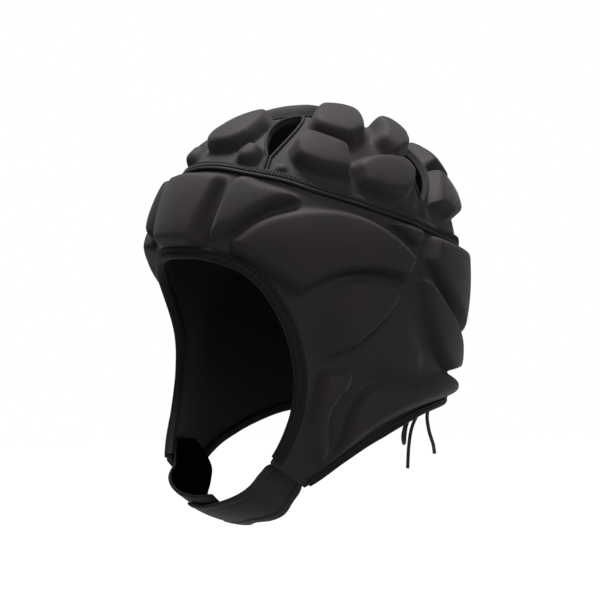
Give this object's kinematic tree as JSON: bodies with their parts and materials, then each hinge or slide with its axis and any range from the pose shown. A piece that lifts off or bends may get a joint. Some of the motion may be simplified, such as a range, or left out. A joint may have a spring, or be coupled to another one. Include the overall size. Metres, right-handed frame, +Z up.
{
  "type": "rugby scrum cap",
  "caption": "Padded soft cap with a raised-pad shell, vented crown, open face, laced nape and an overlapping chin strap.",
  "frame": {"origin": "middle of the head hollow, in the plane of the brow, where a head carries the cap", "axes": "+Z up, the wearer looks along -Y, the wearer's left ear at +X"},
  "size_m": [0.182, 0.2247, 0.2726],
  "materials": {
    "shell_fabric": "matt stretch knit, near black",
    "pad_fabric": "stretch knit over moulded foam, soft sheen",
    "binding_tape": "folded elastic tape with stitches",
    "seam_tape": "flatlock stitched tape",
    "hook_loop": "hook and loop pile, dull black",
    "lace": "braided round lace"
  },
  "bodies": {
    "root": {"side_shell_left": "shell_fabric", "side_shell_right": "shell_fabric", "crown_front": "shell_fabric", "crown_left": "shell_fabric", "crown_right": "shell_fabric", "crown_back": "shell_fabric", "seam_tape": "seam_tape", "face_binding": "binding_tape", "hem_binding_left": "binding_tape", "hem_binding_right": "binding_tape", "vent_front_left": "binding_tape", "vent_front_right": "binding_tape", "vent_back_left": "binding_tape", "vent_back_right": "binding_tape", "chin_tab_left": "shell_fabric", "chin_tab_right": "shell_fabric", "hook_patch": "hook_loop", "pad_forehead": "pad_fabric", "pad_temple_left": "pad_fabric", "pad_temple_right": "pad_fabric", "pad_upper_left": "pad_fabric", "pad_upper_right": "pad_fabric", "pad_wedge_left": "pad_fabric", "pad_wedge_right": "pad_fabric", "pad_lower_left": "pad_fabric", "pad_lower_right": "pad_fabric", "pad_cheek_left": "pad_fabric", "pad_cheek_right": "pad_fabric", "pad_ear_left": "pad_fabric", "pad_ear_right": "pad_fabric", "pad_jaw_left": "pad_fabric", "pad_jaw_right": "pad_fabric", "pad_back_strip_left": "pad_fabric", "pad_back_strip_right": "pad_fabric", "pad_back_tall_left": "pad_fabric", "pad_back_tall_right": "pad_fabric", "crown_pad_brow": "pad_fabric", "crown_pad_nape_middle": "pad_fabric", "crown_pad_nape_low": "pad_fabric", "crown_pad_corner_left": "pad_fabric", "crown_pad_corner_right": "pad_fabric", "crown_pad_top_left": "pad_fabric", "crown_pad_top_right": "pad_fabric", "crown_pad_front_left": "pad_fabric", "crown_pad_front_right": "pad_fabric", "crown_pad_rear_left": "pad_fabric", "crown_pad_rear_right": "pad_fabric", "crown_pad_side_left": "pad_fabric", "crown_pad_side_right": "pad_fabric", "crown_pad_edge_left": "pad_fabric", "crown_pad_edge_right": "pad_fabric", "crown_pad_nape_top_left": "pad_fabric", "crown_pad_nape_top_right": "pad_fabric", "crown_pad_nape_side_left": "pad_fabric", "crown_pad_nape_side_right": "pad_fabric", "lace_cross": "lace", "lace_knot": "lace", "lace_loop": "lace", "lace_end_long": "lace", "lace_end_short": "lace"}
  },
  "joints": []
}
